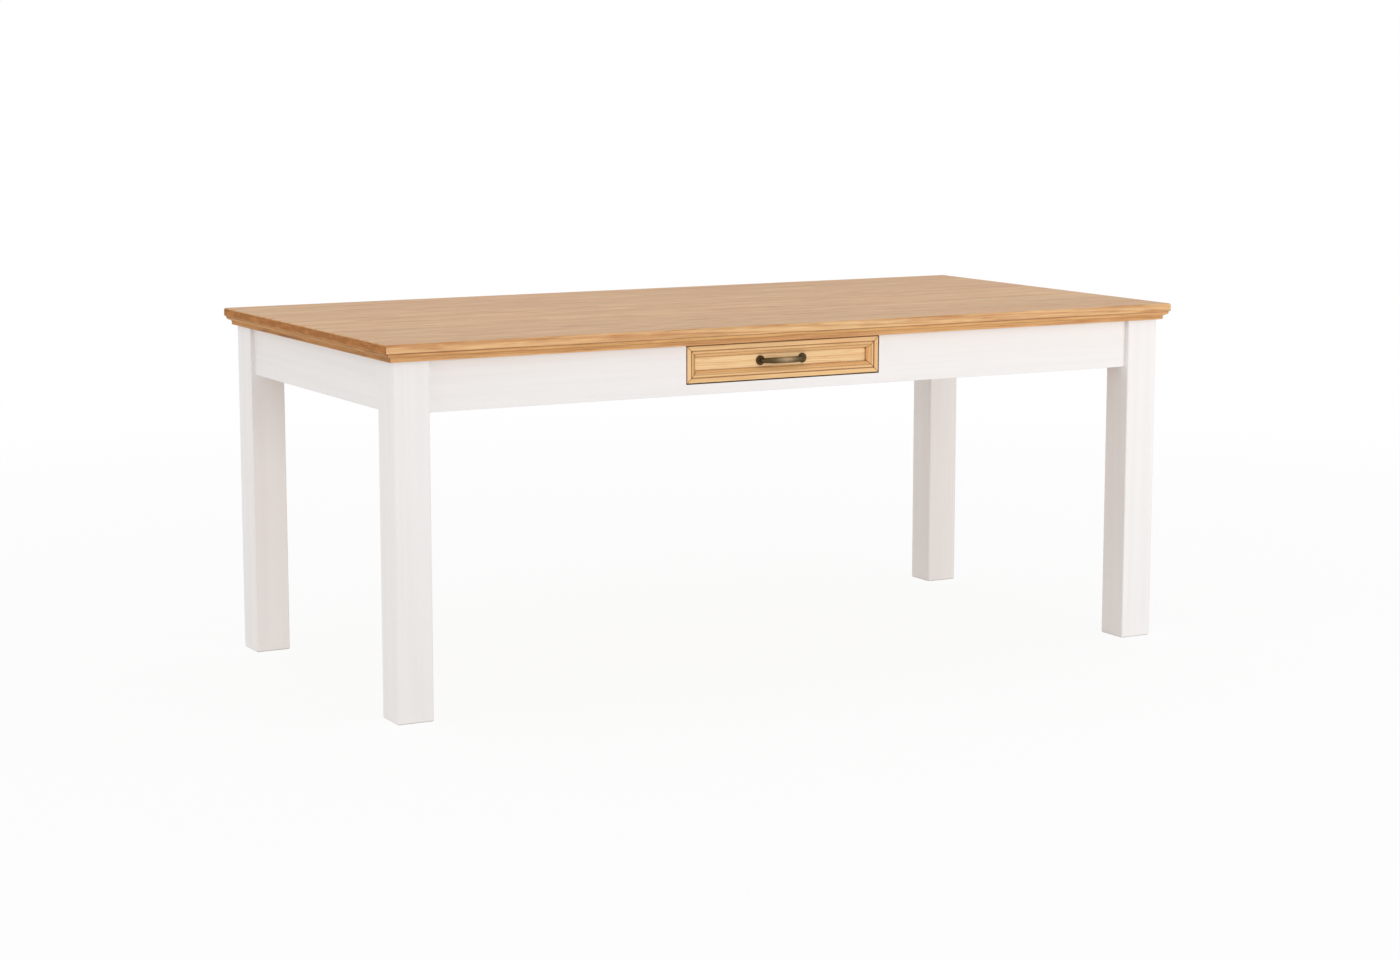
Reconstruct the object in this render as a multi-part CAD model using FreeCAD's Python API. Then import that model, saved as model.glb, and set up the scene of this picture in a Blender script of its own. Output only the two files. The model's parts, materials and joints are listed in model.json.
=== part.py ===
import FreeCAD, Part
import math
import os

# Tavern table: waxed pine top, painted legs and aprons, one pine drawer in the front apron.
# X runs along the table, the drawer side faces -Y and Z is up. The origin is on the floor
# under the middle of the top. All lengths are in millimetres.

# Whole table
table_length = 1900.0
table_depth = 920.0
table_height = 760.0
top_overhang = 22.0

# Top, glued up from boards that run along the table
top_thickness = 18.0
top_board_count = 7
top_arris_radius = 4.0
top_lower_radius = 2.0

# Moulded frame under the edge of the top
moulding_height = 18.0
moulding_step = 3.5
moulding_fillet = 2.5
moulding_ogee = 9.2
moulding_ogee_bulge = 1.3
moulding_foot = 5.0

# Legs
leg_side = 78.0
leg_edge_radius = 3.0
leg_foot_chamfer = 2.0
leg_bolt_flat = 14.0

# Aprons
apron_height = 105.0
apron_thickness = 22.0
apron_setback = 11.0
apron_edge_radius = 1.5
apron_dowel_radius = 4.0
apron_dowel_depth = 20.0
apron_dowel_height_shares = (0.3, 0.7)

# Corner blocks, which the leg bolts pull against
block_thickness = 25.0
block_height = 70.0
block_gap = 4.0
block_screw_length = 24.0
block_screw_seat = 8.0
block_screw_height_shares = (0.2, 0.8)
bolt_radius = 4.0
bolt_depth_in_leg = 45.0
bolt_tail = 5.0
bolt_height_shares = (0.25, 0.75)
washer_radius = 10.0
washer_thickness = 2.0
nut_across_flats = 13.0
nut_height = 6.5

# Steel angles that hold the top down
bracket_leg = 25.0
bracket_width = 30.0
bracket_thickness = 2.5
bracket_screw_length = 14.0
bracket_long_share = 0.7
bracket_short_share = 0.5

# Wood screws, shared by every screwed joint
screw_radius = 2.0
screw_head_radius = 4.0
screw_head_height = 2.5
screw_tip_length = 4.0

# Drawer opening in the front apron
opening_width = 469.0
opening_height = 83.0
drawer_offset = -37.0
front_gap = 2.5
front_top_gap = 4.0

# Guides, runners and kickers that carry the drawer
guide_thickness = 18.0
guide_dowel_radius = 4.0
guide_dowel_in_apron = 12.0
guide_dowel_in_guide = 18.0
runner_width = 24.0
runner_clearance = 0.3
kicker_clearance = 2.0
side_clearance = 2.0
runner_screw_length = 34.0
runner_screw_sink = 5.0
runner_screw_shares = (0.1, 0.5, 0.9)
kicker_screw_length = 22.0
kicker_screw_sink = 5.0
kicker_screw_shares = (0.15, 0.85)
rear_stop_length = 30.0
rear_stop_height = 20.0
stop_clearance = 0.5
drawer_travel = 300.0

# Drawer front: mitred moulded frame round a flat panel
front_thickness = 22.0
front_frame_width = 23.5
front_flat = 9.0
front_groove = 1.4
front_groove_depth = 2.5
front_bead_width = 5.8
front_bead_rise = 1.8
front_step = 1.2
front_ovolo_rise = 1.0
front_arris = 1.0
front_lip = 2.5
panel_recess = 13.5
panel_rebate = 6.0
panel_clearance = 0.3

# Drawer box
box_thickness = 12.0
box_edge_radius = 1.5
bottom_thickness = 4.0
bottom_groove_depth = 5.0
bottom_groove_height = 8.0
box_dowel_radius = 3.0
box_dowel_length = 30.0
box_dowel_height_shares = (0.35, 0.8)
front_screw_length = 22.0
front_screw_from_edge = 14.0
front_screw_share = 0.62
stop_block_width = 30.0
stop_block_thickness = 10.0
stop_block_overlap = 24.0
stop_block_rise = 14.0
stop_block_share = 0.5
stop_screw_length = 16.0

# Bow handle on two rosettes
handle_pitch = 102.0
handle_reach = 25.0
bow_end_height = 8.0
bow_end_thickness = 6.5
bow_grip_height = 13.0
bow_grip_thickness = 3.6
bow_section_count = 17
bow_squareness_share = 0.72
rosette_radius = 10.0
rosette_height = 3.0
rosette_radius_shares = (1.0, 1.0, 0.88, 0.76, 0.66, 0.55)
rosette_height_shares = (0.0, 0.5, 0.8, 0.55, 0.55, 1.0)
handle_screw_radius = 2.0
handle_screw_grip = 6.0

# Fits
hole_clearance = 0.15
cut_overrun = 5.0
pick_tolerance = 0.01

# Places worked out from the sizes above
half_length = table_length / 2
half_depth = table_depth / 2
top_underside = table_height - top_thickness
frame_top = top_underside - moulding_height
moulding_length = table_length - 2 * moulding_step
moulding_depth = table_depth - 2 * moulding_step
moulding_width = top_overhang - moulding_step + leg_side
moulding_inner_y = half_depth - moulding_step - moulding_width
leg_outer_x = half_length - top_overhang
leg_outer_y = half_depth - top_overhang
leg_inner_x = leg_outer_x - leg_side
leg_inner_y = leg_outer_y - leg_side
apron_bottom = frame_top - apron_height
apron_outer_x = leg_outer_x - apron_setback
apron_outer_y = leg_outer_y - apron_setback
apron_inner_x = apron_outer_x - apron_thickness
apron_inner_y = apron_outer_y - apron_thickness
block_bottom = apron_bottom + (apron_height - block_height) / 2
opening_bottom = frame_top - opening_height
half_opening = opening_width / 2
front_width = opening_width - 2 * front_gap
front_bottom = opening_bottom + front_gap
front_top = frame_top - front_top_gap
front_height = front_top - front_bottom
front_middle = (front_top + front_bottom) / 2
panel_thickness = front_thickness - panel_recess
front_face_y = -apron_outer_y
front_back_y = front_face_y + front_thickness
panel_face_y = front_face_y + panel_recess
box_bottom = opening_bottom + runner_clearance
box_top = frame_top - kicker_clearance
box_height = box_top - box_bottom
half_box = half_opening - side_clearance
half_inside = half_box - box_thickness
box_rear_y = drawer_travel + stop_clearance - moulding_inner_y
bottom_level = box_bottom + bottom_groove_height

UP = FreeCAD.Vector(0, 0, 1)
ALONG = FreeCAD.Vector(1, 0, 0)
BACKWARD = FreeCAD.Vector(0, 1, 0)
ORIGIN = FreeCAD.Vector(0, 0, 0)
DIAGONAL = FreeCAD.Vector(1, 1, 0).normalize()


def at(x, y, z):
    return FreeCAD.Vector(x, y, z)


def block(x0, x1, y0, y1, z0, z1):
    """Box between two opposite corners."""
    return Part.makeBox(x1 - x0, y1 - y0, z1 - z0, at(x0, y0, z0))


def rod(start, direction, radius, length):
    return Part.makeCylinder(radius, length, start, direction)


def prism(corners, depth):
    """Straight prism on a closed outline."""
    return Part.Face(Part.makePolygon(corners + corners[:1])).extrude(depth)


def edges_where(shape, test):
    return [edge for edge in shape.Edges if test(edge.BoundBox)]


def mirrored(shape, side_x, side_y):
    """Copy of a shape in one quarter of the table, from its twin in the +X +Y quarter."""
    if side_x < 0:
        shape = shape.mirror(ORIGIN, ALONG)
    if side_y < 0:
        shape = shape.mirror(ORIGIN, BACKWARD)
    return shape


def in_all_corners(shapes):
    return [mirrored(shape, sx, sy) for sx in (-1, 1) for sy in (-1, 1) for shape in shapes]


def group(shapes):
    return Part.Compound(shapes)


# Screws

def wood_screw(seat, direction, length):
    """Screw whose head sits on the seat and whose shank points along the direction."""
    shank_length = length - screw_tip_length
    shank = rod(seat, direction, screw_radius, shank_length)
    head = rod(seat, -direction, screw_head_radius, screw_head_height)
    tip = Part.makeCone(screw_radius, 0, screw_tip_length, seat + direction * shank_length, direction)
    return shank.fuse([head, tip]).removeSplitter()


def screw_hole(seat, direction, length, head_room):
    """Hole for a wood screw, with room for its head behind the seat."""
    shank = rod(seat, direction, screw_radius + hole_clearance, length + hole_clearance)
    head = rod(seat, -direction, screw_head_radius + hole_clearance, head_room)
    return shank.fuse(head)


# Mitred members, which the frame under the top and the drawer front share

def mitred_member(profile, length, width, low, high):
    """Member along X with its outer edge at y = 0, cut at 45 degrees at both ends."""
    bar = Part.Face(profile).extrude(ALONG * length)
    bar.translate(at(-length / 2, 0, 0))
    half = length / 2
    plan = [at(-half, 0, low), at(half, 0, low), at(half - width, width, low), at(width - half, width, low)]
    return bar.common(prism(plan, UP * (high - low)))


def turned_out(member, quarter_turns, across):
    """Move a member to one side of a rectangle: 0 is -Y, 1 is +X, 2 is +Y and 3 is -X."""
    member = member.copy()
    member.translate(at(0, -across / 2, 0))
    member.rotate(ORIGIN, UP, quarter_turns * 90)
    return member


# Top

def top_boards():
    """Boards of the top, with one rounded arris running round all of them."""
    slab = block(-half_length, half_length, -half_depth, half_depth, top_underside, table_height)
    upper = edges_where(slab, lambda box: box.ZMin > table_height - pick_tolerance)
    slab = slab.makeFillet(top_arris_radius, upper)
    lower = edges_where(slab, lambda box: box.ZMax < top_underside + pick_tolerance)
    slab = slab.makeFillet(top_lower_radius, lower)
    board_width = table_depth / top_board_count
    boards = {}
    for index in range(top_board_count):
        y0 = index * board_width - half_depth
        strip = block(-half_length, half_length, y0, y0 + board_width, top_underside, table_height)
        boards["top_board_%d" % (index + 1)] = slab.common(strip)
    return boards


def moulding_profile():
    """Section of the frame under the top: narrow strip, ogee that swells above and hollows below, plain foot."""
    corners = [
        at(0, 0, moulding_height - moulding_fillet), at(0, 0, moulding_height),
        at(0, moulding_width, moulding_height), at(0, moulding_width, 0),
        at(0, moulding_ogee, 0), at(0, moulding_ogee, moulding_foot),
    ]
    straight = Part.makePolygon(corners).Edges
    top, foot = corners[0], corners[-1]
    middle = (top + foot) * 0.5
    inward = ALONG.cross(foot - top).normalize() * moulding_ogee_bulge
    hollow = Part.Arc(foot, (foot + middle) * 0.5 + inward, middle).toShape()
    swell = Part.Arc(middle, (middle + top) * 0.5 - inward, top).toShape()
    return Part.Wire(straight + [hollow, swell])


def moulding_frame():
    sides = (("front", moulding_length, moulding_depth), ("right", moulding_depth, moulding_length),
             ("back", moulding_length, moulding_depth), ("left", moulding_depth, moulding_length))
    frame = {}
    for turns, (side, length, across) in enumerate(sides):
        strip = mitred_member(moulding_profile(), length, moulding_width, 0, moulding_height)
        strip = turned_out(strip, turns, across)
        strip.translate(at(0, 0, frame_top))
        frame["moulding_" + side] = strip
    return frame


# Legs and their bolted corners, worked out for the +X +Y corner

def bolt_points():
    """Middle of the leg's bolt flat, at the height of each bolt."""
    x = leg_inner_x + leg_bolt_flat / 2
    y = leg_inner_y + leg_bolt_flat / 2
    return [at(x, y, block_bottom + share * block_height) for share in bolt_height_shares]


def dowel_heights():
    return [apron_bottom + share * apron_height for share in apron_dowel_height_shares]


def corner_dowels(clearance):
    """Dowels from both aprons into one leg, or with a clearance the holes for them."""
    radius = apron_dowel_radius + clearance
    reach = apron_dowel_depth + clearance
    middle_x = (apron_outer_x + apron_inner_x) / 2
    middle_y = (apron_outer_y + apron_inner_y) / 2
    dowels = []
    for z in dowel_heights():
        dowels.append(rod(at(leg_inner_x - reach, middle_y, z), ALONG, radius, 2 * reach))
        dowels.append(rod(at(middle_x, leg_inner_y - reach, z), BACKWARD, radius, 2 * reach))
    return dowels


def leg():
    post = block(leg_inner_x, leg_outer_x, leg_inner_y, leg_outer_y, 0, frame_top)
    upright = edges_where(post, lambda box: box.ZLength > leg_side)
    post = post.makeFillet(leg_edge_radius, upright)
    foot = edges_where(post, lambda box: box.ZMax < pick_tolerance)
    post = post.makeChamfer(leg_foot_chamfer, foot)
    corner = [
        at(leg_inner_x - cut_overrun, leg_inner_y - cut_overrun, apron_bottom),
        at(leg_inner_x + leg_bolt_flat + cut_overrun, leg_inner_y - cut_overrun, apron_bottom),
        at(leg_inner_x - cut_overrun, leg_inner_y + leg_bolt_flat + cut_overrun, apron_bottom),
    ]
    flat = prism(corner, UP * (apron_height + cut_overrun))
    holes = [rod(point, DIAGONAL, bolt_radius + hole_clearance, bolt_depth_in_leg + hole_clearance)
             for point in bolt_points()]
    return post.cut([flat] + holes + corner_dowels(hole_clearance))


def corner_block_ends():
    """Near and far corners of the block on each apron's inner face."""
    flat_sum = leg_inner_x + leg_inner_y + leg_bolt_flat
    near = flat_sum - block_gap * math.sqrt(2)
    far = near - block_thickness * math.sqrt(2)
    return near, far


def block_screw_seats():
    """Seat and direction of each screw through one corner block."""
    near, far = corner_block_ends()
    along = (near + far) / 2
    seats = []
    for share in block_screw_height_shares:
        z = block_bottom + share * block_height
        seats.append((at(along - apron_inner_y, apron_inner_y - block_screw_seat, z), BACKWARD))
        seats.append((at(apron_inner_x - block_screw_seat, along - apron_inner_x, z), ALONG))
    return seats


def corner_block():
    near, far = corner_block_ends()
    plan = [
        at(near - apron_inner_y, apron_inner_y, block_bottom), at(far - apron_inner_y, apron_inner_y, block_bottom),
        at(apron_inner_x, far - apron_inner_x, block_bottom), at(apron_inner_x, near - apron_inner_x, block_bottom),
    ]
    body = prism(plan, UP * block_height)
    through = block_gap + block_thickness + cut_overrun
    holes = [rod(point, -DIAGONAL, bolt_radius + hole_clearance, through) for point in bolt_points()]
    holes += [screw_hole(seat, way, block_screw_length, block_thickness) for seat, way in block_screw_seats()]
    return body.cut(holes)


def hanger_bolt(point):
    tail = block_gap + block_thickness + washer_thickness + nut_height + bolt_tail
    return rod(point - DIAGONAL * tail, DIAGONAL, bolt_radius, tail + bolt_depth_in_leg)


def bolt_washer(point):
    face = point - DIAGONAL * (block_gap + block_thickness)
    disc = rod(face, -DIAGONAL, washer_radius, washer_thickness)
    return disc.cut(rod(face, -DIAGONAL, bolt_radius + hole_clearance, washer_thickness))


def bolt_nut(point):
    face = point - DIAGONAL * (block_gap + block_thickness + washer_thickness)
    corner_radius = nut_across_flats / math.sqrt(3)
    turns = [math.radians(60 * step) for step in range(6)]
    hexagon = [at(corner_radius * math.cos(turn), corner_radius * math.sin(turn), 0) for turn in turns]
    nut = prism(hexagon, UP * nut_height).cut(rod(ORIGIN, UP, bolt_radius + hole_clearance, nut_height))
    nut.Placement = FreeCAD.Placement(face, FreeCAD.Rotation(UP, -DIAGONAL))
    return nut


def corner_nodes():
    nodes = {}
    for side_y, depth_name in ((-1, "front"), (1, "back")):
        for side_x, length_name in ((-1, "left"), (1, "right")):
            corner = depth_name + "_" + length_name
            nodes["leg_" + corner] = mirrored(leg(), side_x, side_y)
            nodes["corner_block_" + corner] = mirrored(corner_block(), side_x, side_y)
    nodes["hanger_bolts"] = group(in_all_corners([hanger_bolt(point) for point in bolt_points()]))
    nodes["bolt_washers"] = group(in_all_corners([bolt_washer(point) for point in bolt_points()]))
    nodes["bolt_nuts"] = group(in_all_corners([bolt_nut(point) for point in bolt_points()]))
    screws = [wood_screw(seat, way, block_screw_length) for seat, way in block_screw_seats()]
    nodes["corner_block_screws"] = group(in_all_corners(screws))
    nodes["apron_dowels"] = group(in_all_corners(corner_dowels(0)))
    return nodes


# Steel angles under the top, worked out for the +X +Y quarter

def bracket_seats():
    """Foot of each angle on its apron, with the way out through the apron and the way along it."""
    return (
        (at(leg_inner_x * bracket_long_share, apron_inner_y, frame_top), BACKWARD, ALONG),
        (at(apron_inner_x, leg_inner_y * bracket_short_share, frame_top), ALONG, BACKWARD),
    )


def bracket_screw_seats(foot, outward):
    """Seat and direction of the two screws of one angle."""
    middle = bracket_leg / 2
    on_apron = foot - UP * middle - outward * bracket_thickness
    on_top = foot - outward * middle - UP * bracket_thickness
    return ((on_apron, outward), (on_top, UP))


def bracket(foot, outward, along):
    start = foot - along * (bracket_width / 2)
    section = [
        start, start - outward * bracket_leg, start - outward * bracket_leg - UP * bracket_thickness,
        start - outward * bracket_thickness - UP * bracket_thickness,
        start - outward * bracket_thickness - UP * bracket_leg, start - UP * bracket_leg,
    ]
    angle = prism(section, along * bracket_width)
    return angle.cut([screw_hole(seat, way, bracket_screw_length, cut_overrun)
                      for seat, way in bracket_screw_seats(foot, outward)])


def bracket_screw_pairs():
    return [pair for foot, outward, along in bracket_seats() for pair in bracket_screw_seats(foot, outward)]


def bracket_nodes():
    angles = [bracket(foot, outward, along) for foot, outward, along in bracket_seats()]
    screws = [wood_screw(seat, way, bracket_screw_length) for seat, way in bracket_screw_pairs()]
    return {"top_brackets": group(in_all_corners(angles)), "top_bracket_screws": group(in_all_corners(screws))}


def bracket_screw_holes():
    holes = [screw_hole(seat, way, bracket_screw_length, cut_overrun) for seat, way in bracket_screw_pairs()]
    return in_all_corners(holes)


# Guides, runners and kickers: worked out on the right of the drawer, about its middle plane

def beside_drawer(shape, side):
    """Shape to the right (1) or left (-1) of the drawer, moved to the drawer's place."""
    if side < 0:
        shape = shape.mirror(ORIGIN, ALONG)
    else:
        shape = shape.copy()
    shape.translate(at(drawer_offset, 0, 0))
    return shape


def on_both_sides(shapes):
    return [beside_drawer(shape, side) for side in (-1, 1) for shape in shapes]


def guide_dowel_rods(clearance):
    """Dowels from both ends of one guide into the aprons, or the holes for them."""
    x = half_opening + guide_thickness / 2
    radius = guide_dowel_radius + clearance
    rods = []
    for z in dowel_heights():
        for side in (-1, 1):
            start = at(x, side * (apron_inner_y - guide_dowel_in_guide - clearance), z)
            length = guide_dowel_in_guide + guide_dowel_in_apron + 2 * clearance
            rods.append(rod(start, BACKWARD * side, radius, length))
    return rods


def runner_screw_seats():
    x = half_opening - runner_width + runner_screw_sink
    z = (apron_bottom + opening_bottom) / 2
    return [at(x, (2 * share - 1) * apron_inner_y, z) for share in runner_screw_shares]


def runner_screw_holes():
    return [screw_hole(seat, ALONG, runner_screw_length, runner_screw_sink + cut_overrun)
            for seat in runner_screw_seats()]


def guide():
    body = block(half_opening, half_opening + guide_thickness, -apron_inner_y, apron_inner_y,
                 apron_bottom, frame_top)
    return body.cut(guide_dowel_rods(hole_clearance) + runner_screw_holes())


def runner():
    body = block(half_opening - runner_width, half_opening, -apron_inner_y, apron_inner_y,
                 apron_bottom, opening_bottom)
    return body.cut(runner_screw_holes())


def kicker_screw_seats():
    x = half_opening - runner_width / 2
    length = box_rear_y + moulding_inner_y
    return [at(x, share * length - moulding_inner_y, frame_top + kicker_screw_sink) for share in kicker_screw_shares]


def kicker_screw_holes():
    return [screw_hole(seat, UP, kicker_screw_length, kicker_screw_sink + cut_overrun)
            for seat in kicker_screw_seats()]


def kicker():
    body = block(half_opening - runner_width, half_opening, -moulding_inner_y, box_rear_y,
                 frame_top, top_underside)
    return body.cut(kicker_screw_holes())


def rear_stop():
    start = box_rear_y + stop_clearance
    return block(half_opening - runner_width, half_opening, start, start + rear_stop_length,
                 opening_bottom, opening_bottom + rear_stop_height)


def slide_nodes():
    nodes = {}
    for side, name in ((-1, "left"), (1, "right")):
        nodes["drawer_guide_" + name] = beside_drawer(guide(), side)
        nodes["drawer_runner_" + name] = beside_drawer(runner(), side)
        nodes["drawer_kicker_" + name] = beside_drawer(kicker(), side)
    nodes["drawer_rear_stops"] = group(on_both_sides([rear_stop()]))
    nodes["guide_dowels"] = group(on_both_sides(guide_dowel_rods(0)))
    runner_screws = [wood_screw(seat, ALONG, runner_screw_length) for seat in runner_screw_seats()]
    nodes["runner_screws"] = group(on_both_sides(runner_screws))
    kicker_screws = [wood_screw(seat, UP, kicker_screw_length) for seat in kicker_screw_seats()]
    nodes["kicker_screws"] = group(on_both_sides(kicker_screws))
    return nodes


# Aprons

def apron_holes():
    """Every hole in the aprons: dowels, corner block screws, angle screws and guide dowels."""
    holes = in_all_corners(corner_dowels(hole_clearance))
    screws = [screw_hole(seat, way, block_screw_length, block_thickness) for seat, way in block_screw_seats()]
    holes += in_all_corners(screws)
    holes += bracket_screw_holes()
    holes += on_both_sides(guide_dowel_rods(hole_clearance))
    return holes


def eased_board(x0, x1, y0, y1):
    """Apron board with its two lower long edges eased."""
    board = block(x0, x1, y0, y1, apron_bottom, frame_top)
    longest = max(x1 - x0, y1 - y0)
    lower = edges_where(board, lambda box: box.ZMax < apron_bottom + pick_tolerance
                        and max(box.XLength, box.YLength) > longest - pick_tolerance)
    return board.makeFillet(apron_edge_radius, lower)


def apron_nodes():
    holes = apron_holes()
    front = eased_board(-leg_inner_x, leg_inner_x, -apron_outer_y, -apron_inner_y)
    opening = block(drawer_offset - half_opening, drawer_offset + half_opening,
                    -apron_outer_y - cut_overrun, cut_overrun - apron_inner_y,
                    opening_bottom, frame_top + cut_overrun)
    back = eased_board(-leg_inner_x, leg_inner_x, apron_inner_y, apron_outer_y)
    left = eased_board(-apron_outer_x, -apron_inner_x, -leg_inner_y, leg_inner_y)
    right = eased_board(apron_inner_x, apron_outer_x, -leg_inner_y, leg_inner_y)
    boards = {"apron_front": front.cut(opening), "apron_back": back, "apron_left": left, "apron_right": right}
    return {name: board.cut(holes) for name, board in boards.items()}


# Drawer front

def front_profile():
    """Section of the drawer front's frame: flat, bead between two grooves, and ovolo down to the panel."""
    face = front_thickness
    groove = face - front_groove_depth
    bead_start = front_flat + front_groove
    bead_end = bead_start + front_bead_width
    ovolo_start = bead_end + front_groove
    rebate = front_frame_width - panel_rebate
    flat = [
        at(0, 0, 0), at(0, 0, face - front_arris), at(0, front_arris, face), at(0, front_flat, face),
        at(0, front_flat, groove), at(0, bead_start, groove),
    ]
    step = [at(0, bead_end, groove), at(0, ovolo_start, groove), at(0, ovolo_start, face - front_step)]
    inside = [
        at(0, front_frame_width, panel_thickness + front_lip), at(0, front_frame_width, panel_thickness),
        at(0, rebate, panel_thickness), at(0, rebate, 0), at(0, 0, 0),
    ]
    bead_crown = at(0, bead_start + front_bead_width / 2, groove + front_bead_rise)
    run = inside[0] - step[-1]
    ovolo_crown = (step[-1] + inside[0]) * 0.5 + ALONG.cross(run).normalize() * front_ovolo_rise
    bead = Part.Arc(flat[-1], bead_crown, step[0]).toShape()
    ovolo = Part.Arc(step[-1], ovolo_crown, inside[0]).toShape()
    straight = [Part.makePolygon(points).Edges for points in (flat, step, inside)]
    return Part.Wire(straight[0] + [bead] + straight[1] + [ovolo] + straight[2])


def stood_up(shape):
    """Drawer front drawn flat, face up and top edge towards +Y, set upright in its place."""
    shape.rotate(ORIGIN, ALONG, 90)
    shape.translate(at(drawer_offset, front_back_y, front_middle))
    return shape


def front_frame():
    sides = (("bottom_rail", front_width, front_height), ("right_stile", front_height, front_width),
             ("top_rail", front_width, front_height), ("left_stile", front_height, front_width))
    frame = {}
    for turns, (name, length, across) in enumerate(sides):
        member = mitred_member(front_profile(), length, front_frame_width, 0, front_thickness)
        member = stood_up(turned_out(member, turns, across))
        frame["drawer_front_" + name] = member.cut(front_screw_holes())
    return frame


def front_panel():
    inset = front_frame_width - panel_rebate + panel_clearance
    half_width = front_width / 2 - inset
    half_height = front_height / 2 - inset
    panel = block(-half_width, half_width, -half_height, half_height, 0, panel_thickness)
    return stood_up(panel).cut(handle_screw_holes())


# Drawer box

def in_box(x0, x1, y0, y1, z0, z1):
    return block(drawer_offset + x0, drawer_offset + x1, y0, y1, z0, z1)


def bottom_panel(clearance):
    """Drawer bottom, or with a clearance the groove that holds it."""
    half_width = half_inside + bottom_groove_depth + clearance
    y0 = front_back_y + box_thickness - bottom_groove_depth - clearance
    return in_box(-half_width, half_width, y0, box_rear_y + clearance,
                  bottom_level - clearance, bottom_level + bottom_thickness)


def box_dowel_rods(clearance):
    """Dowels through the sides into the ends of the box front and back."""
    radius = box_dowel_radius + clearance
    rods = []
    for y in (front_back_y + box_thickness / 2, box_rear_y - box_thickness / 2):
        for share in box_dowel_height_shares:
            z = box_bottom + share * box_height
            for side in (-1, 1):
                start = at(drawer_offset + side * half_box, y, z)
                rods.append(rod(start, ALONG * -side, radius, box_dowel_length + clearance))
    return rods


def front_screw_seats():
    """Screws from inside the box into the top and bottom rails of the drawer front."""
    y = front_back_y + box_thickness
    low = bottom_level + bottom_thickness + screw_head_radius + hole_clearance
    high = front_top - front_screw_from_edge
    return [at(drawer_offset + side * front_screw_share * half_inside, y, z) for side in (-1, 1) for z in (low, high)]


def front_screw_holes():
    return [screw_hole(seat, -BACKWARD, front_screw_length, cut_overrun) for seat in front_screw_seats()]


def stop_block_places():
    return [drawer_offset + side * stop_block_share * half_inside for side in (-1, 1)]


def stop_screw_seats():
    z = box_top - stop_block_overlap / 2
    return [at(x, box_rear_y + stop_block_thickness, z) for x in stop_block_places()]


def stop_screw_holes():
    return [screw_hole(seat, -BACKWARD, stop_screw_length, cut_overrun) for seat in stop_screw_seats()]


def drawer_side(side):
    outer = side * half_box
    inner = side * half_inside
    board = in_box(min(outer, inner), max(outer, inner), front_back_y, box_rear_y, box_bottom, box_top)
    upper = edges_where(board, lambda box: box.ZMin > box_top - pick_tolerance and box.YLength > box_thickness)
    board = board.makeFillet(box_edge_radius, upper)
    return board.cut([bottom_panel(hole_clearance)] + box_dowel_rods(hole_clearance))


def drawer_box_front():
    board = in_box(-half_inside, half_inside, front_back_y, front_back_y + box_thickness, box_bottom, box_top)
    cuts = [bottom_panel(hole_clearance)] + box_dowel_rods(hole_clearance)
    return board.cut(cuts + front_screw_holes() + handle_screw_holes())


def drawer_back():
    board = in_box(-half_inside, half_inside, box_rear_y - box_thickness, box_rear_y,
                   bottom_level + bottom_thickness, box_top)
    return board.cut(box_dowel_rods(hole_clearance) + stop_screw_holes())


def stop_blocks():
    """Blocks on the drawer's back that stand up behind the frame under the top."""
    half_width = stop_block_width / 2
    blocks = [block(x - half_width, x + half_width, box_rear_y, box_rear_y + stop_block_thickness,
                    box_top - stop_block_overlap, box_top + stop_block_rise) for x in stop_block_places()]
    return group([piece.cut(stop_screw_holes()) for piece in blocks])


def drawer_nodes():
    nodes = front_frame()
    nodes["drawer_front_panel"] = front_panel()
    nodes["drawer_box_front"] = drawer_box_front()
    nodes["drawer_side_left"] = drawer_side(-1)
    nodes["drawer_side_right"] = drawer_side(1)
    nodes["drawer_back"] = drawer_back()
    nodes["drawer_bottom"] = bottom_panel(0)
    nodes["drawer_dowels"] = group(box_dowel_rods(0))
    nodes["drawer_front_screws"] = group([wood_screw(seat, -BACKWARD, front_screw_length)
                                          for seat in front_screw_seats()])
    nodes["drawer_stop_blocks"] = stop_blocks()
    nodes["drawer_stop_screws"] = group([wood_screw(seat, -BACKWARD, stop_screw_length)
                                         for seat in stop_screw_seats()])
    return nodes


# Handle

def handle_feet():
    """Where the two ends of the handle stand on the panel."""
    return [at(drawer_offset + side * handle_pitch / 2, panel_face_y, front_middle) for side in (-1, 1)]


def handle_screw_length():
    return box_thickness + panel_thickness + rosette_height + handle_screw_grip


def handle_screw_seat(foot):
    return foot + BACKWARD * (panel_thickness + box_thickness)


def handle_screw_holes():
    return [rod(handle_screw_seat(foot), -BACKWARD, handle_screw_radius + hole_clearance,
                handle_screw_length() + hole_clearance) for foot in handle_feet()]


def handle_screw(foot):
    seat = handle_screw_seat(foot)
    shank = rod(seat, -BACKWARD, handle_screw_radius, handle_screw_length())
    head = rod(seat, BACKWARD, screw_head_radius, screw_head_height)
    return shank.fuse(head).removeSplitter()


def rosette(foot):
    """Round plate with one raised ring and a raised middle."""
    outline = [at(radius * rosette_radius, 0, height * rosette_height)
               for radius, height in zip(rosette_radius_shares, rosette_height_shares)]
    outline = [ORIGIN] + outline + [at(0, 0, rosette_height)]
    plate = Part.Face(Part.makePolygon(outline + [ORIGIN])).revolve(ORIGIN, UP, 360)
    plate.Placement = FreeCAD.Placement(foot, FreeCAD.Rotation(UP, -BACKWARD))
    return plate.cut(handle_screw_holes())


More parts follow.
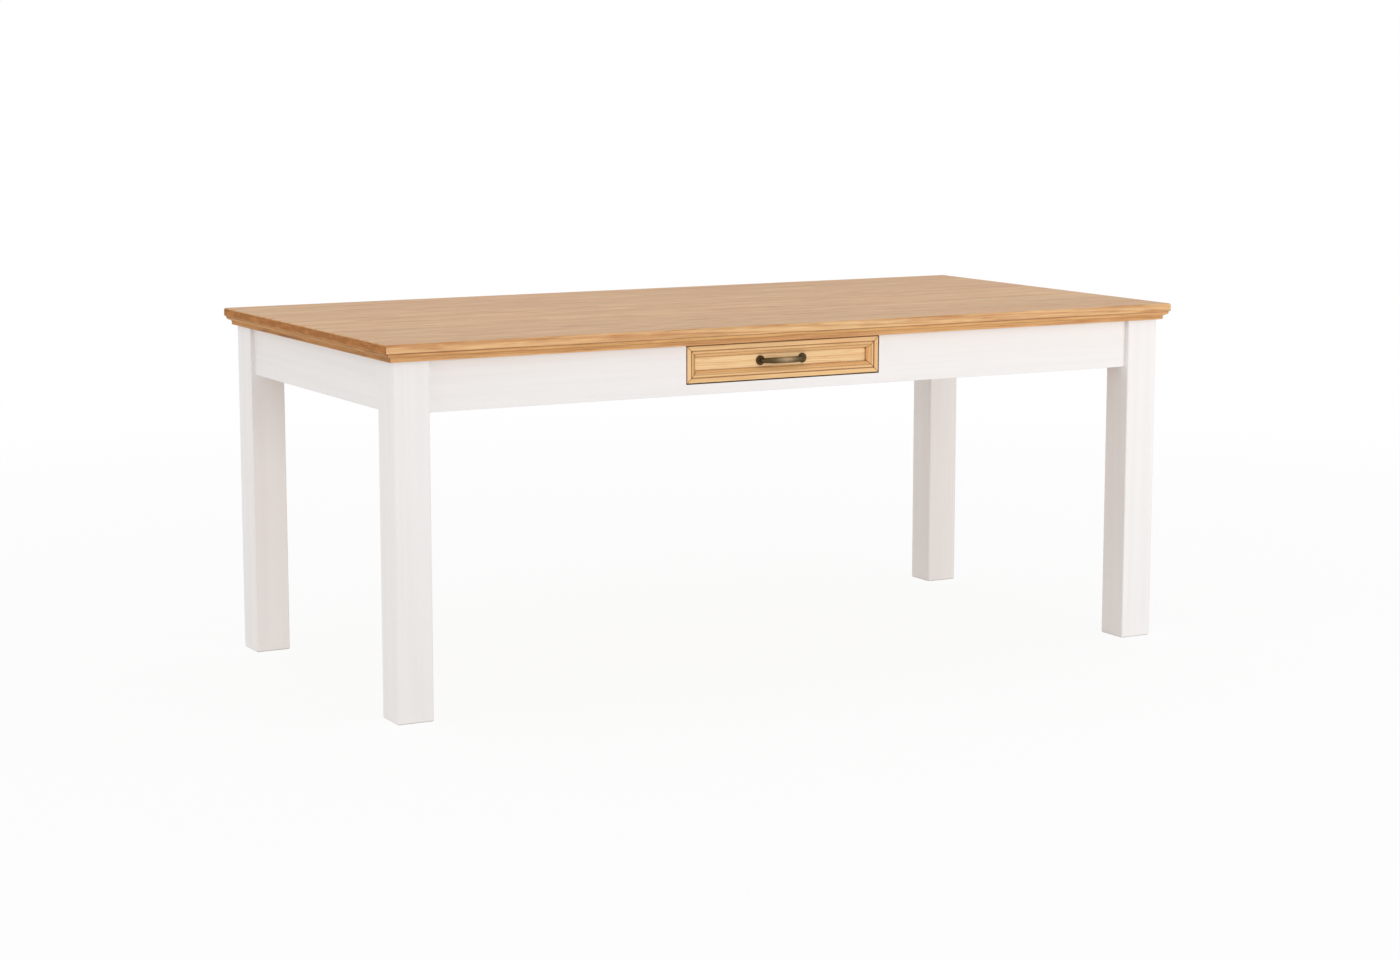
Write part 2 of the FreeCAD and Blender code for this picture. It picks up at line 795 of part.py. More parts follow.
def bow_point(turn):
    """Middle of the bow, from one foot (turn 0) over to the other (turn pi)."""
    across = math.copysign(abs(math.cos(turn)) ** bow_squareness_share, math.cos(turn))
    rise = abs(math.sin(turn)) ** bow_squareness_share
    out = rosette_height + (handle_reach - rosette_height - bow_grip_thickness / 2) * rise
    return at(drawer_offset + across * handle_pitch / 2, panel_face_y - out, front_middle)


def bow_section(step):
    """Oval across the bow, round at the feet and a flat ribbon at the grip."""
    turn = math.pi * step / (bow_section_count - 1)
    spread = math.sin(turn)
    height = bow_end_height + (bow_grip_height - bow_end_height) * spread
    thickness = bow_end_thickness + (bow_grip_thickness - bow_end_thickness) * spread
    centre = bow_point(turn)
    if step in (0, bow_section_count - 1):
        sideways = ALONG * math.copysign(1, math.cos(turn))
    else:
        half_step = math.pi / (bow_section_count - 1) / 2
        forward = bow_point(turn + half_step) - bow_point(turn - half_step)
        sideways = forward.cross(UP).normalize()
    oval = Part.Ellipse(centre + UP * (height / 2), centre + sideways * (thickness / 2), centre)
    return Part.Wire(oval.toShape())


def handle_bow():
    sections = [bow_section(step) for step in range(bow_section_count)]
    return Part.makeLoft(sections, True, False).cut(handle_screw_holes())


def handle_nodes():
    return {
        "handle_bow": handle_bow(),
        "handle_rosettes": group([rosette(foot) for foot in handle_feet()]),
        "handle_screws": group([handle_screw(foot) for foot in handle_feet()]),
    }


def drilled_top(nodes):
    """Drill the angle screws into the frame under the top, and the kicker screws into the boards."""
    kicker_holes = on_both_sides(kicker_screw_holes())
    for name in nodes:
        if name.startswith("moulding_"):
            nodes[name] = nodes[name].cut(bracket_screw_holes())
        else:
            nodes[name] = nodes[name].cut(kicker_holes)
    return nodes


def main():
    nodes = drilled_top({**top_boards(), **moulding_frame()})
    for made in (corner_nodes(), bracket_nodes(), slide_nodes(), apron_nodes(), drawer_nodes(), handle_nodes()):
        nodes.update(made)
    os.makedirs("parts", exist_ok=True)
    for name, shape in nodes.items():
        shape.exportStep("parts/%s.step" % name)
        print(name, len(shape.Solids), shape.isValid(), round(shape.Volume))


main()
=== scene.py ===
import json
import math

import bpy
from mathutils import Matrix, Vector


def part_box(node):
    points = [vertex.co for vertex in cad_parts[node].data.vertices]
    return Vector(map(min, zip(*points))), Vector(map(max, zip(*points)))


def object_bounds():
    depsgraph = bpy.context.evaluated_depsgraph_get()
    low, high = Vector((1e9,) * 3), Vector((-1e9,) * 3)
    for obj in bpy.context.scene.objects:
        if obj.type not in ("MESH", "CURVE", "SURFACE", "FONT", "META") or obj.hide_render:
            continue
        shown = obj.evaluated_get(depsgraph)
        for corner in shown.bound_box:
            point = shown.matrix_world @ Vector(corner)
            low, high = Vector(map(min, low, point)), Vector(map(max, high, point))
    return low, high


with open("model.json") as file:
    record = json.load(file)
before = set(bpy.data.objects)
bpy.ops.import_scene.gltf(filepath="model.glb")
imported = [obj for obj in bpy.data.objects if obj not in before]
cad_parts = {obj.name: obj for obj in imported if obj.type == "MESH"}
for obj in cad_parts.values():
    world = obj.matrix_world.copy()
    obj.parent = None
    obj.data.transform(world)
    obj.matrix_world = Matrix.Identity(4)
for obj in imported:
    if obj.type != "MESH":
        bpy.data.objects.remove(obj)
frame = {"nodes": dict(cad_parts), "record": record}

cad_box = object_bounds()
table_middle = (Vector(cad_box[0]) + Vector(cad_box[1])) / 2

# Camera, in metres and degrees: the eye stands in front of the table, left of its middle
camera_place = Vector((-3.1149, -5.6450, 1.3398))
camera_azimuth = -28.86
camera_elevation = 8.58
focal_length_px = 2902.5
photo_width_px = 1400
sensor_width_mm = 36.0

# Light: a lamp stands off the table's middle, by degrees and metres, and its power is in watts
ambient_strength = 0.715
key_lamp = {
    "azimuth": 26.0, "elevation": 7.0, "distance": 6.0,
    "width": 3.6, "height": 1.7, "power": 85.0,
}
fill_lamp = {
    "azimuth": -80.0, "elevation": 3.5, "distance": 9.0,
    "width": 5.0, "height": 1.7, "power": 108.0,
}

# Floor, in metres: the share of plain white in it grows from the near reach to the far one
floor_size = 400.0
floor_drop = 0.0005
floor_level = 0.97
floor_roughness = 0.9
floor_near_share = 0.9
floor_near_reach = 1.6
floor_far_reach = 5.0

# Growth rings, in metres: a pith lies askew under each piece, and the turns give each piece its own
pith_drop = 0.055
pith_side_range = 0.03
pith_side_turn = 2.4
pith_slope_range = 0.02
side_slope_turn = 1.7
depth_slope_turn = 3.1
ring_wander = 0.010
late_wood_shares = ((0.0, 0.05), (0.45, 0.12), (0.78, 0.6), (0.92, 1.0), (1.0, 0.2))

# Wood figure: rates are features a metre, along the grain first and then across it
DRIFT = {"rates": (0.9, 5.0, 5.0)}
FIBRES = {"rates": (5.0, 420.0, 420.0), "detail": 3.0, "roughness": 0.6}
FLECKS = {"rates": (14.0, 240.0, 240.0)}
END_MOTTLE = {"rates": (5.0, 24.0, 130.0)}
STREAKS = {"detail": 3.0, "roughness": 0.6}
streak_rate_along = 2.2
tone_rate_along = 0.5
warmth_rate_along = 0.9
warmth_spread = 2.0
noise_middle = (0.5, 0.5, 0.5)
seed_steps = (3.71, 1.37, 2.13)
tint_turn = 5.1

# Wood figure: the span of a noise or of a face's slope over which each effect sets in
tone_span = (0.36, 0.64)
blush_span = (0.42, 0.68)
streak_span = (0.44, 0.72)
fleck_span = (0.54, 0.74)
gleam_span = (0.28, 0.46)
fibre_span = (0.25, 0.7)
end_span = (0.75, 0.97)
end_mottle_span = (0.42, 0.66)
end_mottle_share = 0.75
fibre_dark_share = 0.84

# Wood surface, with the mitre joint's line in metres
fibre_roughness = 0.16
end_roughness = 0.35
fibre_relief_share = 0.7
ring_relief_share = 0.3
mitre_line_width = 0.0013
mitre_line_core = mitre_line_width / 3
crevice_samples = 12

GRAIN_ORDER = {"X": ("X", "Y", "Z"), "Y": ("Y", "X", "Z"), "Z": ("Z", "X", "Y")}

# Mitred pieces: the axis across each one, counted from its grain, and the side that its outer edge is on
MITRES = {
    "moulding_front": ("Y", -1),
    "moulding_back": ("Y", 1),
    "moulding_left": ("Y", -1),
    "moulding_right": ("Y", 1),
    "drawer_front_bottom_rail": ("Z", -1),
    "drawer_front_top_rail": ("Z", 1),
    "drawer_front_left_stile": ("Y", -1),
    "drawer_front_right_stile": ("Y", 1),
}


def srgb(red, green, blue):
    """Linear colour of an 8-bit sRGB one."""
    def linear(value):
        value /= 255
        return value / 12.92 if value <= 0.04045 else ((value + 0.055) / 1.055) ** 2.4
    return (linear(red), linear(green), linear(blue), 1.0)


WHITE = srgb(255, 255, 255)

# Finishes: waxed pine on the top, its mouldings and the drawer's front, and bare pine inside
WAXED = {
    "early": srgb(249, 207, 148), "late": srgb(190, 124, 64), "ring_share": 0.8, "ring_spacing": 0.0058,
    "tone": srgb(226, 167, 107), "tone_share": 0.6, "tone_width": 0.06, "tint_share": 0.06,
    "blush": srgb(233, 170, 121), "blush_share": 0.4,
    "streak": srgb(182, 116, 58), "streak_share": 0.6, "streak_width": 0.009, "fleck_share": 0.6,
    "end": srgb(152, 90, 30), "end_share": 0.88, "roughness": 0.46, "relief": 0.00025, "gloss": 0.32,
}
# MOULDED and the palettes made from it darken grooves and corners: partly glaze gathered there, partly
# painted shade
MOULDED = dict(
    WAXED, ring_spacing=0.0042, ring_share=0.6, tone_width=0.02, tone_share=0.7,
    streak_width=0.006, streak_share=0.7, early=srgb(244, 194, 127), late=srgb(204, 143, 78),
    glaze_and_shade=srgb(92, 44, 10), groove_shade_share=1.0, groove_shade_reach=0.011, groove_shade_span=(0.1, 0.46), mitre_share=0.9)
# Mouldings at the two ends: a darker, less glossy copy of MOULDED with deeper groove shade; the darker
# colours are painted shade for the table's shaded end
SHADED_END_MOULDED = dict(
    MOULDED, early=srgb(224, 162, 84), tone=srgb(180, 120, 56), late=srgb(164, 104, 48),
    blush=srgb(194, 132, 72), streak=srgb(128, 76, 34), streak_share=0.8, groove_shade_span=(0.1, 0.38), gloss=0.14)
PANEL = dict(
    MOULDED, early=srgb(251, 219, 165), late=srgb(225, 168, 104), tone=srgb(243, 199, 140),
    blush=srgb(241, 192, 138), streak=srgb(214, 153, 88), streak_share=0.5, tone_share=0.5, ring_share=0.5,
    glaze_and_shade=srgb(132, 68, 18), groove_shade_share=0.75, groove_shade_reach=0.005, groove_shade_span=(0.14, 0.44))
FRAME = dict(
    PANEL, early=srgb(254, 215, 156), tone=srgb(249, 196, 132), blush=srgb(249, 193, 134),
    streak_share=0.35, ring_share=0.4, fleck_share=0.4, groove_shade_share=0.9, groove_shade_span=(0.3, 0.6))
PLAIN = {
    "early": srgb(226, 198, 152), "late": srgb(196, 152, 100), "ring_share": 0.6, "ring_spacing": 0.0045,
    "tone": srgb(216, 184, 136), "tone_share": 0.4, "tone_width": 0.03, "tint_share": 0.05,
    "blush": srgb(222, 182, 140), "blush_share": 0.4,
    "streak": srgb(206, 168, 118), "streak_share": 0.4, "streak_width": 0.01, "fleck_share": 0.4,
    "end": srgb(176, 134, 88), "end_share": 0.6, "roughness": 0.68, "relief": 0.0004, "gloss": 0.3,
}

# Finishes: white paint over wood
PAINT = {
    "colour": srgb(243, 240, 238),
    "strokes": {"rates": (7.0, 260.0, 260.0), "detail": 3.0, "roughness": 0.6}, "stroke_relief_share": 0.5,
    "figure": {"rates": (1.4, 60.0, 60.0), "detail": 3.0, "roughness": 0.55}, "figure_relief_share": 0.5,
    "figure_colour": srgb(232, 228, 225), "figure_span": (0.4, 0.75), "figure_share": 0.4,
    "cloud": {"rates": (2.2, 3.1, 3.1)},
    "cloud_colour": srgb(240, 233, 232), "cloud_span": (0.35, 0.7), "cloud_share": 0.35,
    # dark brown painted shade in tight gaps and corners, by how closed in they are
    "paint_shade_colour": srgb(84, 62, 46), "paint_shade_reach": 0.012, "paint_shade_span": (0.72, 0.95), "paint_shade_share": 0.85,
    "roughness": 0.4, "stroke_roughness": 0.18, "relief": 0.00035, "ior": 1.46,
}

# Finishes: browned bronze
BRONZE = {
    "colour": srgb(74, 59, 38),
    "patches": {"rates": (160.0, 160.0, 160.0), "detail": 4.0, "roughness": 0.6},
    "patch_colour": srgb(140, 120, 90), "patch_span": (0.35, 0.75), "patch_share": 0.3,
    # lighter towards the middle of the grip: partly rubbed wear, partly a painted highlight
    "wear_and_highlight_colour": srgb(154, 132, 104), "wear_and_highlight_span": (0.0, 0.5), "wear_and_highlight_share": 0.6,
    "dirt_colour": srgb(44, 35, 20), "dirt_reach": 0.004, "dirt_span": (0.3, 0.8), "dirt_share": 0.5,
    "scratches": {"rates": (90.0, 1500.0, 1500.0)},
    "roughness": 0.34, "scratch_roughness": 0.2, "relief": 0.00006, "metallic": 0.9,
}

# Finishes: zinc plate
ZINC = {
    "dark": srgb(168, 170, 172), "light": srgb(204, 205, 204),
    "spangle": {"rates": (700.0, 700.0, 700.0), "detail": 3.0},
    "roughness": 0.3, "spangle_roughness": 0.15, "relief": 0.00003, "metallic": 1.0,
}


class Shader:
    """Builds the nodes of one material."""

    def __init__(self, name):
        self.material = bpy.data.materials.new(name)
        self.material.use_nodes = True
        self.tree = self.material.node_tree
        self.surface = self.tree.nodes["Principled BSDF"]

    def feed(self, socket, value):
        """Link a socket to a node's output, or set its value."""
        if isinstance(value, bpy.types.NodeSocket):
            self.tree.links.new(value, socket)
        else:
            socket.default_value = value

    def node(self, kind, inputs=None, **settings):
        """New node of a kind, with its inputs fed and its settings made."""
        node = self.tree.nodes.new(kind)
        for key, value in settings.items():
            setattr(node, key, value)
        for key, value in (inputs or {}).items():
            self.feed(node.inputs[key], value)
        return node

    def set(self, **inputs):
        """Feed inputs of the surface, whose names have _ for a space."""
        for key, value in inputs.items():
            self.feed(self.surface.inputs[key.replace("_", " ")], value)

    def math(self, operation, first, second=0.0, clamp=False):
        inputs = {0: first, 1: second}
        return self.node("ShaderNodeMath", inputs, operation=operation, use_clamp=clamp).outputs[0]

    def line(self, value, slope, start):
        """start plus slope times value."""
        inputs = {0: value, 1: slope, 2: start}
        return self.node("ShaderNodeMath", inputs, operation="MULTIPLY_ADD").outputs[0]

    def blend(self, first, first_share, second, second_share):
        """Sum of two values, each times its share."""
        first_part = self.math("MULTIPLY", first, first_share)
        second_part = self.math("MULTIPLY", second, second_share)
        return self.math("ADD", first_part, second_part)

    def vector(self, operation, first, second):
        return self.node("ShaderNodeVectorMath", {0: first, 1: second}, operation=operation).outputs[0]

    def split(self, vector):
        """Parts of a vector by the name of their axis."""
        return self.node("ShaderNodeSeparateXYZ", {"Vector": vector}).outputs

    def place(self):
        return self.node("ShaderNodeTexCoord").outputs["Object"]

    def noise(self, vector, rates, detail=2.0, roughness=0.5, output="Fac"):
        """Noise with so many features a metre along each axis."""
        scaled = self.vector("MULTIPLY", vector, rates)
        inputs = {"Vector": scaled, "Scale": 1.0, "Detail": detail, "Roughness": roughness}
        return self.node("ShaderNodeTexNoise", inputs).outputs[output]

    def ramp(self, value, stops):
        """Grey curve through (place, level) stops."""
        node = self.node("ShaderNodeValToRGB", {"Fac": value})
        elements = node.color_ramp.elements
        while len(elements) < len(stops):
            elements.new(1.0)
        for element, (place, level) in zip(elements, stops):
            element.position = place
            element.color = (level, level, level, 1.0)
        return node.outputs["Color"]

    def rise(self, value, span, share):
        """Goes from 0 up to a share over a span of the value."""
        return self.ramp(value, ((span[0], 0.0), (span[1], share)))

    def fall(self, value, span, share):
        """Goes from a share down to 0 over a span of the value."""
        return self.ramp(value, ((span[0], share), (span[1], 0.0)))

    def mix(self, share, first, second, blend="MIX"):
        """Colour between two others; sockets 6 and 7 take them, and output 2 gives the result."""
        node = self.node("ShaderNodeMix", data_type="RGBA", blend_type=blend)
        self.feed(node.inputs[0], share)
        self.feed(node.inputs[6], first)
        self.feed(node.inputs[7], second)
        return node.outputs[2]

    def bump(self, height, distance):
        return self.node("ShaderNodeBump", {"Height": height, "Distance": distance}).outputs["Normal"]

    def crevice(self, reach):
        """1 in corners and grooves that are tighter than a reach, 0 on open faces."""
        node = self.node("ShaderNodeAmbientOcclusion", {"Distance": reach}, samples=crevice_samples)
        return self.math("SUBTRACT", 1.0, node.outputs["AO"], clamp=True)


def grain_space(shader, middle, along):
    """Place on a piece, from its middle, with the grain as the first axis."""
    parts = shader.split(shader.vector("SUBTRACT", shader.place(), middle))
    inputs = dict(zip("XYZ", (parts[axis] for axis in GRAIN_ORDER[along])))
    return shader.node("ShaderNodeCombineXYZ", inputs).outputs[0]


def end_slope(shader, along):
    """1 on a face that is square to the grain, 0 on one that runs with it."""
    normal = shader.node("ShaderNodeTexCoord").outputs["Normal"]
    return shader.math("ABSOLUTE", shader.split(normal)[along])


def ring_pattern(shader, grain, seeded, spacing, seed):
    """Growth rings round a pith that lies askew under the piece: 0 in early wood, 1 in late wood."""
    pith_side = pith_side_range * math.sin(pith_side_turn * seed)
    side_slope = pith_slope_range * math.cos(side_slope_turn * seed)
    depth_slope = pith_slope_range * math.sin(depth_slope_turn * seed)
    drift = shader.vector("SUBTRACT", shader.noise(seeded, output="Color", **DRIFT), noise_middle)
    drift = shader.vector("MULTIPLY", drift, (0.0, ring_wander * 2, ring_wander * 2))
    bent = shader.split(shader.vector("ADD", grain, drift))
    lean = shader.math("MULTIPLY", bent["X"], side_slope)
    across = shader.math("ADD", shader.math("ADD", bent["Y"], lean), pith_side)
    climb = shader.math("MULTIPLY", bent["X"], depth_slope)
    depth = shader.math("ADD", shader.math("ADD", bent["Z"], climb), pith_drop)
    across_square = shader.math("MULTIPLY", across, across)
    depth_square = shader.math("MULTIPLY", depth, depth)
    radius = shader.math("SQRT", shader.math("ADD", across_square, depth_square))
    ring = shader.math("FRACT", shader.math("DIVIDE", radius, spacing))
    return shader.ramp(ring, late_wood_shares)


def figure_colour(shader, seeded, rings, fibres, palette, seed):
    """Colour of the long grain: rings, drifting tone, streaks, short flecks and fibres."""
    tint = 1 + palette["tint_share"] * math.sin(tint_turn * seed)
    early = tuple(level * tint for level in palette["early"][:3]) + (1.0,)
    colour = shader.mix(shader.math("MULTIPLY", rings, palette["ring_share"]), early, palette["late"])
    tone_rate = 1 / palette["tone_width"]
    tone = shader.noise(seeded, (tone_rate_along, tone_rate, tone_rate))
    colour = shader.mix(shader.rise(tone, tone_span, palette["tone_share"]), colour, palette["tone"])
    warmth_rate = tone_rate / warmth_spread
    warmth = shader.noise(seeded, (warmth_rate_along, warmth_rate, warmth_rate), output="Color")
    warmth = shader.node("ShaderNodeSeparateColor", {"Color": warmth}).outputs["Green"]
    colour = shader.mix(shader.rise(warmth, blush_span, palette["blush_share"]), colour, palette["blush"])
    streak_rate = 1 / palette["streak_width"]
    streaks = shader.noise(seeded, (streak_rate_along, streak_rate, streak_rate), **STREAKS)
    streaked = shader.rise(streaks, streak_span, palette["streak_share"])
    colour = shader.mix(streaked, colour, palette["streak"])
    flecks = shader.noise(seeded, **FLECKS)
    colour = shader.mix(shader.rise(flecks, fleck_span, palette["fleck_share"]), colour, palette["streak"])
    colour = shader.mix(shader.fall(flecks, gleam_span, palette["fleck_share"]), colour, palette["early"])
    fibre_level = shader.ramp(fibres, ((fibre_span[0], fibre_dark_share), (fibre_span[1], 1.0)))
    return shader.mix(1.0, colour, fibre_level, blend="MULTIPLY")


def end_grain(shader, seeded, slope, colour, palette):
    """Darken the faces that are square to the grain, in uneven patches."""
    mottle = shader.rise(shader.noise(seeded, **END_MOTTLE), end_mottle_span, end_mottle_share)
    end_colour = shader.mix(mottle, palette["end"], palette["late"])
    return shader.mix(shader.rise(slope, end_span, palette["end_share"]), colour, end_colour)


def glaze_and_shade(shader, colour, palette):
    """Darken the grooves by how closed in they are: partly the finish gathered there, partly painted shade.
    """
    depth = shader.crevice(palette["groove_shade_reach"])
    amount = shader.rise(depth, palette["groove_shade_span"], palette["groove_shade_share"])
    return shader.mix(amount, colour, palette["glaze_and_shade"])


def mitre_joints(shader, grain, colour, palette, half_length, half_width, mitre):
    """Draw the joint at both ends of a piece that is cut at 45 degrees from its outer edge inwards."""
    across, outer_side = mitre
    parts = shader.split(grain)
    from_end = shader.math("SUBTRACT", half_length, shader.math("ABSOLUTE", parts["X"]))
    from_edge = shader.math("ADD", shader.math("MULTIPLY", parts[across], -outer_side), half_width)
    apart = shader.math("ABSOLUTE", shader.math("SUBTRACT", from_end, from_edge))
    inputs = {
        "Value": apart, "From Min": mitre_line_core, "From Max": mitre_line_width,
        "To Min": 1.0, "To Max": 0.0,
    }
    joint = shader.node("ShaderNodeMapRange", inputs).outputs["Result"]
    return shader.mix(shader.math("MULTIPLY", joint, palette["mitre_share"]), colour, palette["glaze_and_shade"])


def wood(name, along, palette, seed, mitre=None):
    """Softwood of one node, with its own rings and tint; mitre is its entry among the mitred pieces."""
    low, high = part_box(name)
    middle = tuple((a + b) / 2 for a, b in zip(low, high))
    shader = Shader("pine_" + name)
    grain = grain_space(shader, middle, along)
    slope = end_slope(shader, along)
    seeded = shader.vector("ADD", grain, tuple(step * seed for step in seed_steps))
    rings = ring_pattern(shader, grain, seeded, palette["ring_spacing"], seed)
    fibres = shader.noise(seeded, **FIBRES)
    colour = figure_colour(shader, seeded, rings, fibres, palette, seed)
    colour = end_grain(shader, seeded, slope, colour, palette)
    # grooves and corners get glaze and painted shade
    if "glaze_and_shade" in palette:
        colour = glaze_and_shade(shader, colour, palette)
    if mitre:
        sizes = {axis: high[index] - low[index] for index, axis in enumerate("XYZ")}
        width = sizes[GRAIN_ORDER[along]["XYZ".index(mitre[0])]]
        colour = mitre_joints(shader, grain, colour, palette, sizes[along] / 2, width / 2, mitre)
    rough = shader.line(fibres, fibre_roughness, palette["roughness"] - fibre_roughness / 2)
    rough = shader.math("ADD", rough, shader.rise(slope, end_span, end_roughness))
    relief = shader.blend(fibres, fibre_relief_share, rings, ring_relief_share)
    shader.set(Base_Color=colour, Roughness=rough, Normal=shader.bump(relief, palette["relief"]))
    shader.set(Specular_IOR_Level=palette["gloss"])
    return shader.material


def painted_wood(name, along):
    """White paint brushed over pine: the grain stands through it faintly, and tight gaps get painted shade.
    """
    shader = Shader(name)
    grain = grain_space(shader, (0.0, 0.0, 0.0), along)
    strokes = shader.noise(grain, **PAINT["strokes"])
    figure = shader.noise(grain, **PAINT["figure"])
    cloud = shader.noise(grain, **PAINT["cloud"])
    figure_amount = shader.rise(figure, PAINT["figure_span"], PAINT["figure_share"])
    colour = shader.mix(figure_amount, PAINT["colour"], PAINT["figure_colour"])
    cloud_amount = shader.rise(cloud, PAINT["cloud_span"], PAINT["cloud_share"])
    colour = shader.mix(cloud_amount, colour, PAINT["cloud_colour"])
    # painted shade in tight gaps
    gap_shade = shader.rise(shader.crevice(PAINT["paint_shade_reach"]), PAINT["paint_shade_span"], PAINT["paint_shade_share"])
    colour = shader.mix(gap_shade, colour, PAINT["paint_shade_colour"])
    relief = shader.blend(strokes, PAINT["stroke_relief_share"], figure, PAINT["figure_relief_share"])
    rough = shader.line(strokes, PAINT["stroke_roughness"], PAINT["roughness"])
    shader.set(Base_Color=colour, Roughness=rough, Normal=shader.bump(relief, PAINT["relief"]))
    shader.set(IOR=PAINT["ior"])
    return shader.material


def aged_bronze():
    """Dark browned bronze, lighter at the middle of the handle: partly rubbed wear, partly a painted
    highlight.
    """
    shader = Shader("aged_bronze")
    place = shader.place()
    patches = shader.noise(place, **BRONZE["patches"])
    worn = shader.rise(patches, BRONZE["patch_span"], BRONZE["patch_share"])
    colour = shader.mix(worn, BRONZE["colour"], BRONZE["patch_colour"])
    # lighter towards the middle of the grip: partly rubbed wear, partly a painted highlight
    low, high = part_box("handle_bow")
    off_middle = shader.math("SUBTRACT", shader.split(place)["X"], (low[0] + high[0]) / 2)
    reach = shader.math("DIVIDE", shader.math("ABSOLUTE", off_middle), (high[0] - low[0]) / 2)
    wear_and_highlight = shader.fall(reach, BRONZE["wear_and_highlight_span"], BRONZE["wear_and_highlight_share"])
    colour = shader.mix(wear_and_highlight, colour, BRONZE["wear_and_highlight_colour"])
    dirt = shader.rise(shader.crevice(BRONZE["dirt_reach"]), BRONZE["dirt_span"], BRONZE["dirt_share"])
    colour = shader.mix(dirt, colour, BRONZE["dirt_colour"])
    scratches = shader.noise(place, **BRONZE["scratches"])
    rough = shader.line(scratches, BRONZE["scratch_roughness"], BRONZE["roughness"])
    shader.set(Base_Color=colour, Roughness=rough, Normal=shader.bump(scratches, BRONZE["relief"]))
    shader.set(Metallic=BRONZE["metallic"])
    return shader.material


def zinc_steel():
    """Bright zinc plate with a faint mottle."""
    shader = Shader("zinc_steel")
    spangle = shader.noise(shader.place(), **ZINC["spangle"])
    colour = shader.mix(spangle, ZINC["dark"], ZINC["light"])
    rough = shader.line(spangle, ZINC["spangle_roughness"], ZINC["roughness"])
    shader.set(Base_Color=colour, Roughness=rough, Normal=shader.bump(spangle, ZINC["relief"]))
    shader.set(Metallic=ZINC["metallic"])
    return shader.material


def paint(name, material):
    """Give one node a material over all its faces."""
    mesh = frame["nodes"][name].data
    mesh.materials.clear()
    mesh.materials.append(material)
    for face in mesh.polygons:
        face.material_index = 0


def grain_axis(name):
    """Axis that the wood of a node runs along."""
    if name.startswith(("leg_", "drawer_front_left_stile", "drawer_front_right_stile")):
        return "Z"
    if name.endswith(("_left", "_right")) and name.startswith(("moulding_", "apron_", "drawer_")):
        return "Y"
    return "X"


def palette_of(name, slot):
    """Finish of a node of bare wood."""
    if slot == "plain_pine":
        return PLAIN
    if name.startswith("top_board"):
        return WAXED
    # the end mouldings take the darker copy, whose colours are painted shade
    if name in ("moulding_left", "moulding_right"):
        return SHADED_END_MOULDED
    if name.startswith("moulding"):
        return MOULDED
    return PANEL if name == "drawer_front_panel" else FRAME


def paint_all():
    """Give every node the finish of its material slot."""
    bronze = aged_bronze()
    steel = zinc_steel()
    painted = {axis: painted_wood("white_paint_" + axis.lower(), axis) for axis in "XYZ"}
    slots = {part["node"]: part["material_slot"] for part in frame["record"]["subparts"]}
    for seed, name in enumerate(sorted(frame["nodes"]), start=1):
        slot = slots[name]
        along = grain_axis(name)
        if slot == "aged_bronze":
            paint(name, bronze)
        elif slot == "zinc_steel":
            paint(name, steel)
        elif slot == "white_paint":
            paint(name, painted[along])
        else:
            paint(name, wood(name, along, palette_of(name, slot), seed, MITRES.get(name)))


def shown_as_white(tree):
    """1 for rays that look straight at the background or see it in gloss or glass."""
    rays = tree.nodes.new("ShaderNodeLightPath")
    seen = rays.outputs["Is Camera Ray"]
    for other in ("Is Glossy Ray", "Is Transmission Ray"):
        either = tree.nodes.new("ShaderNodeMath")
        either.operation = "MAXIMUM"
        tree.links.new(seen, either.inputs[0])
        tree.links.new(rays.outputs[other], either.inputs[1])
        seen = either.outputs[0]
    return seen


def world_light():
    """Even light from all round, behind a white background."""
    world = bpy.data.worlds.new("studio")
    bpy.context.scene.world = world
    world.use_nodes = True
    tree = world.node_tree
    background = tree.nodes["Background"]
    strength = tree.nodes.new("ShaderNodeMapRange")
    strength.inputs["To Min"].default_value = ambient_strength
    strength.inputs["To Max"].default_value = 1.0
    tree.links.new(shown_as_white(tree), strength.inputs["Value"])
    tree.links.new(strength.outputs["Result"], background.inputs["Strength"])
    background.inputs["Color"].default_value = WHITE


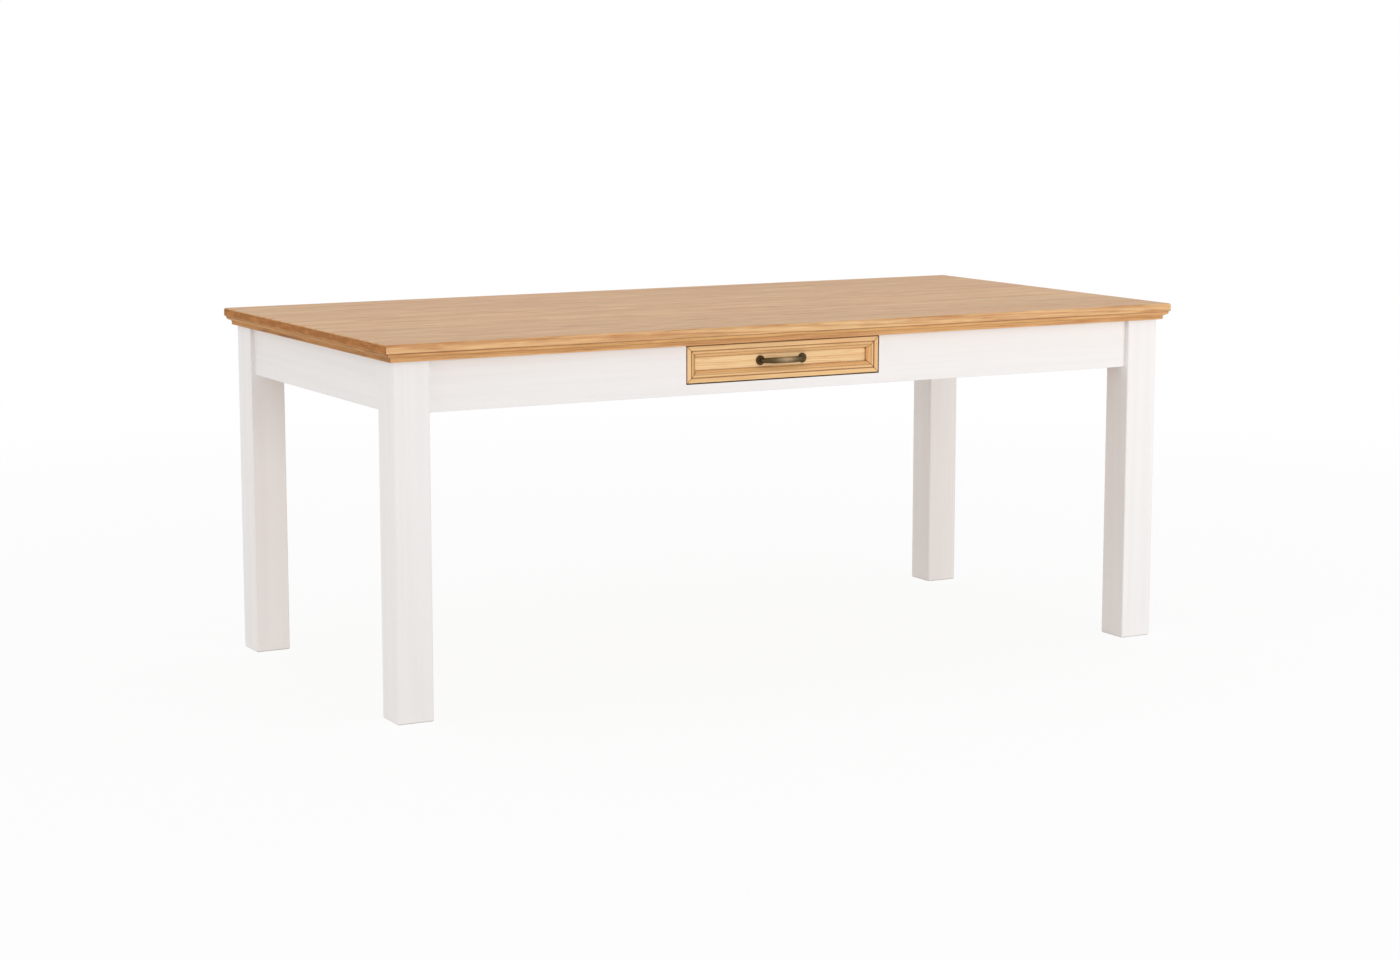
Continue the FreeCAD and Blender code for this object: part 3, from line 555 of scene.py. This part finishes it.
def floor_paper():
    """Pale matt paper that keeps the table's shadow and turns as white as the background away from it."""
    shader = Shader("floor_paper")
    colour = (floor_level, floor_level, floor_level, 1.0)
    shader.set(Base_Color=colour, Roughness=floor_roughness, Specular_IOR_Level=0.0)
    distance = shader.node("ShaderNodeVectorMath", {0: shader.place()}, operation="LENGTH").outputs["Value"]
    inputs = {
        "Value": distance, "From Min": floor_near_reach, "From Max": floor_far_reach,
        "To Min": floor_near_share, "To Max": 1.0,
    }
    whiteness = shader.node("ShaderNodeMapRange", inputs, interpolation_type="SMOOTHSTEP").outputs["Result"]
    share = shader.math("MULTIPLY", shown_as_white(shader.tree), whiteness)
    glow = shader.node("ShaderNodeEmission", {"Color": WHITE, "Strength": 1.0})
    blend = shader.node("ShaderNodeMixShader", {0: share, 1: shader.surface.outputs[0], 2: glow.outputs[0]})
    shader.tree.links.new(blend.outputs[0], shader.tree.nodes["Material Output"].inputs["Surface"])
    return shader.material


def floor():
    """Square of paper just under the feet."""
    half = floor_size / 2
    corners = [(-half, -half, 0), (half, -half, 0), (half, half, 0), (-half, half, 0)]
    mesh = bpy.data.meshes.new("floor")
    mesh.from_pydata(corners, [], [(0, 1, 2, 3)])
    mesh.materials.append(floor_paper())
    plane = bpy.data.objects.new("floor", mesh)
    plane.location.z = -floor_drop
    bpy.context.collection.objects.link(plane)


def direction(azimuth_degrees, elevation_degrees):
    """Unit vector from the table towards an azimuth (0 in front, 90 at its right end) and an elevation."""
    azimuth = math.radians(azimuth_degrees)
    elevation = math.radians(elevation_degrees)
    level = math.cos(elevation)
    return Vector((math.sin(azimuth) * level, -math.cos(azimuth) * level, math.sin(elevation)))


def area_light(name, azimuth, elevation, distance, width, height, power):
    """Rectangular lamp that faces the table's middle."""
    lamp = bpy.data.lights.new(name, "AREA")
    lamp.shape = "RECTANGLE"
    lamp.size = width
    lamp.size_y = height
    lamp.energy = power
    light = bpy.data.objects.new(name, lamp)
    way = direction(azimuth, elevation)
    light.location = table_middle + way * distance
    light.rotation_euler = (-way).to_track_quat("-Z", "Y").to_euler()
    light.visible_camera = False
    bpy.context.collection.objects.link(light)


def camera():
    """Camera at the photo's viewing angle."""
    lens = bpy.data.cameras.new("camera")
    lens.sensor_width = sensor_width_mm
    lens.sensor_fit = "HORIZONTAL"
    lens.lens = focal_length_px / photo_width_px * sensor_width_mm
    eye = bpy.data.objects.new("camera", lens)
    eye.location = camera_place
    eye.rotation_euler = (-direction(camera_azimuth, camera_elevation)).to_track_quat("-Z", "Y").to_euler()
    bpy.context.collection.objects.link(eye)
    bpy.context.scene.camera = eye


paint_all()
world_light()
floor()
area_light("key", **key_lamp)
area_light("fill", **fill_lamp)
camera()
bpy.context.scene.view_settings.view_transform = "Standard"
